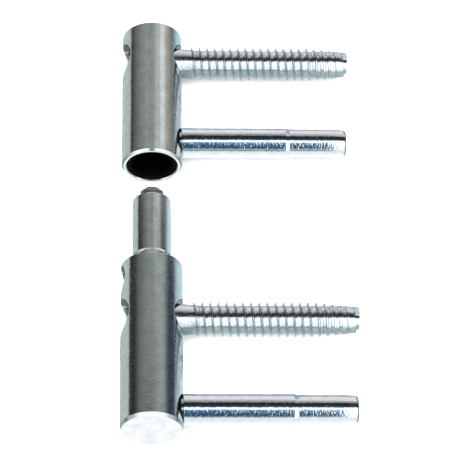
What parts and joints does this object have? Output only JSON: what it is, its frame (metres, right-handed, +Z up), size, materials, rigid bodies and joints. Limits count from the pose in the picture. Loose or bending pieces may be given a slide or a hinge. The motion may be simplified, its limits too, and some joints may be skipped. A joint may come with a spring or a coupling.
{
  "type": "screw-in door hinge",
  "caption": "Lift-off screw-in door hinge in two halves: round barrels on a pivot pin, each with one threaded and one plain fixing pin.",
  "frame": {"origin": "centre of the footprint as the hinge lies on its barrels with the halves drawn apart, in the plane it lies on", "axes": "+Y along the pivot pin from the frame half to the leaf half, +X along the fixing pins, +Z up"},
  "size_m": [0.0764, 0.1502, 0.02],
  "materials": {
    "zinc_barrel": "satin zinc plating",
    "zinc_pin": "bright zinc plating",
    "zinc_screw": "bright zinc plating on rolled thread",
    "zinc_small_screw": "zinc plating",
    "black_bush": "moulded acetal",
    "hard_steel": "ground hardened steel"
  },
  "bodies": {
    "frame_half": {"frame_barrel": "zinc_barrel", "pivot_pin": "zinc_pin", "frame_fixed_pin": "zinc_pin"},
    "frame_screw": {"frame_screw_pin": "zinc_screw"},
    "pivot_lock": {"pivot_lock_screw": "zinc_small_screw"},
    "height_adjuster": {"height_screw": "zinc_small_screw"},
    "thrust": {"thrust_pad": "hard_steel"},
    "leaf_half": {"leaf_barrel": "zinc_barrel", "bearing_bush": "black_bush", "leaf_fixed_pin": "zinc_pin", "leaf_keeper_screw": "zinc_small_screw"},
    "leaf_screw": {"leaf_screw_pin": "zinc_screw"}
  },
  "joints": [
    {"name": "lift", "type": "slide", "parent": "frame_half", "child": "thrust", "axis": [0, 1, 0], "range_m": [-0.0384, 0]},
    {"name": "swing", "type": "hinge", "parent": "thrust", "child": "leaf_half", "pos_m": [-0.02815, 0.0229, 0.01], "axis": [0, -1, 0], "continuous": true},
    {"name": "frame_screw_turn", "type": "hinge", "parent": "frame_half", "child": "frame_screw", "pos_m": [-0.02815, -0.0356, 0.01], "axis": [1, 0, 0], "continuous": true},
    {"name": "leaf_screw_turn", "type": "hinge", "parent": "leaf_half", "child": "leaf_screw", "pos_m": [-0.02815, 0.0648, 0.01], "axis": [1, 0, 0], "continuous": true},
    {"name": "pivot_lock_turn", "type": "hinge", "parent": "frame_half", "child": "pivot_lock", "pos_m": [-0.02815, -0.0215, 0.01], "axis": [1, 0, 0], "continuous": true},
    {"name": "height_adjust", "type": "slide", "parent": "frame_half", "child": "height_adjuster", "axis": [0, 1, 0], "range_m": [-0.003, 0]}
  ]
}
